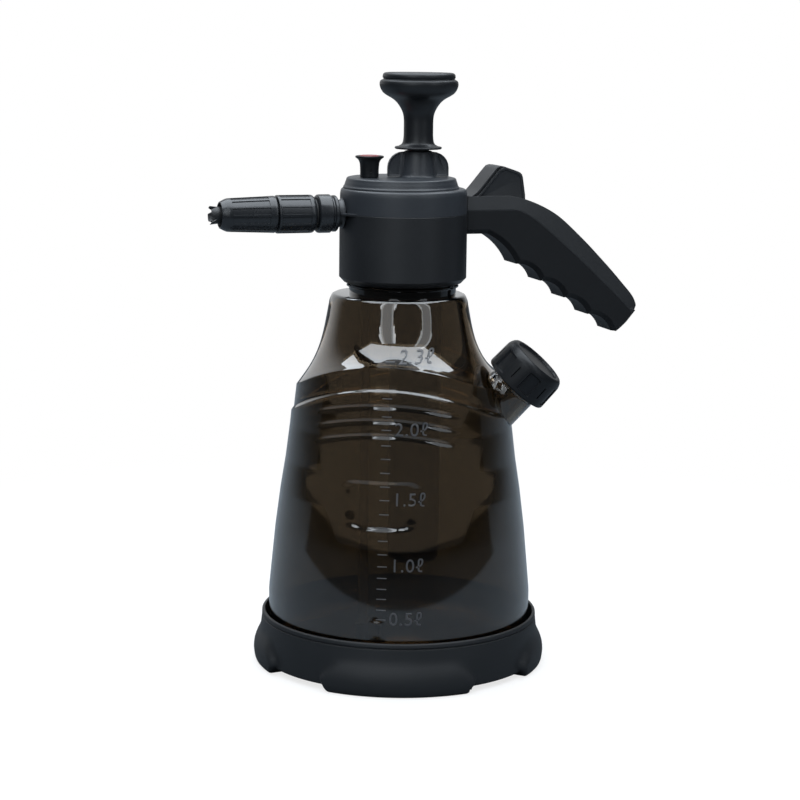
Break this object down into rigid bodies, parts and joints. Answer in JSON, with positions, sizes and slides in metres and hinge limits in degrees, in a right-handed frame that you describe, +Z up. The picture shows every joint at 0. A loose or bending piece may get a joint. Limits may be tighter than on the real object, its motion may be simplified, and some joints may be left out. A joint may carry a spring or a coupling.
{
  "type": "hand-pumped pressure foam sprayer",
  "caption": "Hand-pumped pressure foam sprayer: tinted graduated bottle with angled filler, screw-on pump head, handle with thumb trigger, relief valve and foam nozzle.",
  "frame": {"origin": "on the base plane under the feet, on the bottle's axis", "axes": "+Z up the bottle's axis; -Y the front, from which the graduation and the nozzle show; +X the side that the filler spout and the handle point to"},
  "size_m": [0.2476, 0.1706, 0.3421],
  "materials": {
    "boot_rubber": "matt, finely grained",
    "bottle_tint": "smoke-brown see-through, high gloss",
    "cap_black": "satin",
    "head_black": "satin",
    "knob_black": "satin",
    "rod_black": "smooth",
    "nozzle_black": "satin",
    "tip_black": "matt",
    "handle_black": "fine grain",
    "button_red": "satin",
    "inner_plastic": "plain moulded",
    "tube_clear": "clear tube",
    "seal_rubber": "smooth",
    "spring_steel": "bright"
  },
  "bodies": {
    "base": {"base_boot": "boot_rubber", "bottle": "bottle_tint"},
    "head_thread": {"head_gasket": "seal_rubber"},
    "head": {"head_body": "head_black", "lid": "head_black", "pump_cylinder": "inner_plastic", "pump_cylinder_seal": "seal_rubber", "rod_bush": "inner_plastic", "pump_cap": "head_black", "check_cage": "inner_plastic", "relief_post": "inner_plastic", "relief_spring": "spring_steel", "valve_body": "head_black", "dip_tube": "tube_clear", "dip_filter": "inner_plastic", "nozzle_collar": "nozzle_black", "nozzle_oring": "seal_rubber", "nozzle_body": "nozzle_black", "nozzle_jet": "inner_plastic", "foam_screens": "spring_steel", "nozzle_tip": "tip_black", "handle_shell": "handle_black", "handle_cover": "handle_black", "handle_screws": "spring_steel", "trigger_pin": "spring_steel", "trigger_spring": "spring_steel", "valve_seal": "seal_rubber", "valve_spring": "spring_steel", "link_seal": "seal_rubber"},
    "filler_thread": {"filler_gasket": "seal_rubber"},
    "filler_cap": {"filler_cap": "cap_black"},
    "plunger_lift": {"piston_seal": "seal_rubber"},
    "plunger": {"piston": "inner_plastic", "pump_rod": "rod_black", "pump_knob": "knob_black", "knob_cap": "knob_black"},
    "relief_valve": {"relief_knob": "cap_black", "relief_button": "button_red", "relief_stem": "inner_plastic", "relief_seal": "seal_rubber"},
    "trigger": {"trigger": "handle_black"},
    "push_link": {"push_link": "spring_steel"},
    "check_disc": {"check_disc": "seal_rubber"},
    "nozzle_sleeve": {"nozzle_sleeve": "nozzle_black"}
  },
  "joints": [
    {"name": "head_lift", "type": "slide", "parent": "base", "child": "head_thread", "axis": [0, 0, 1], "range_m": [0, 0.0091]},
    {"name": "head_turn", "type": "hinge", "parent": "head_thread", "child": "head", "pos_m": [0, 0, 0.23], "axis": [0, 0, 1], "range_deg": [0, 900]},
    {"name": "filler_lift", "type": "slide", "parent": "base", "child": "filler_thread", "axis": [0.6609, -0.1047, 0.7431], "range_m": [0, 0.0071]},
    {"name": "filler_turn", "type": "hinge", "parent": "filler_thread", "child": "filler_cap", "pos_m": [0.06568, -0.0104, 0.16565], "axis": [0.6609, -0.1047, 0.7431], "range_deg": [0, 720]},
    {"name": "pump_slide", "type": "slide", "parent": "head", "child": "plunger_lift", "axis": [0, 0, 1], "range_m": [0, 0.16]},
    {"name": "knob_spin", "type": "hinge", "parent": "plunger_lift", "child": "plunger", "pos_m": [0.00799, 0.0026, 0.3], "axis": [0, 0, 1], "continuous": true},
    {"name": "relief_pull", "type": "slide", "parent": "head", "child": "relief_valve", "axis": [0, 0, 1], "range_m": [0, 0.003], "stiffness_N_per_m": 900, "springref_m": -0.002, "deforming": ["relief_spring"]},
    {"name": "trigger_press", "type": "hinge", "parent": "head", "child": "trigger", "pos_m": [0.0447, 0.01452, 0.2622], "axis": [-0.309, 0.9511, 0], "range_deg": [0, 8], "stiffness_Nm_per_rad": 0.5, "springref_deg": -17.19},
    {"name": "valve_slide", "type": "slide", "parent": "head", "child": "push_link", "axis": [-0.9511, -0.309, 0], "range_m": [0, 0.0011]},
    {"name": "check_open", "type": "slide", "parent": "head", "child": "check_disc", "axis": [0, 0, -1], "range_m": [0, 0.001], "stiffness_N_per_m": 30, "springref_m": -0.003},
    {"name": "nozzle_turn", "type": "hinge", "parent": "head", "child": "nozzle_sleeve", "pos_m": [-0.0856, -0.02781, 0.2629], "axis": [-0.9511, -0.309, 0], "range_deg": [0, 180]}
  ],
  "couplings": [
    {"joint": "head_lift", "follows": "head_turn", "m_per_rad": 0.00057296},
    {"joint": "filler_lift", "follows": "filler_turn", "m_per_rad": 0.00055704},
    {"joint": "valve_slide", "follows": "trigger_press", "m_per_rad": 0.0076}
  ]
}
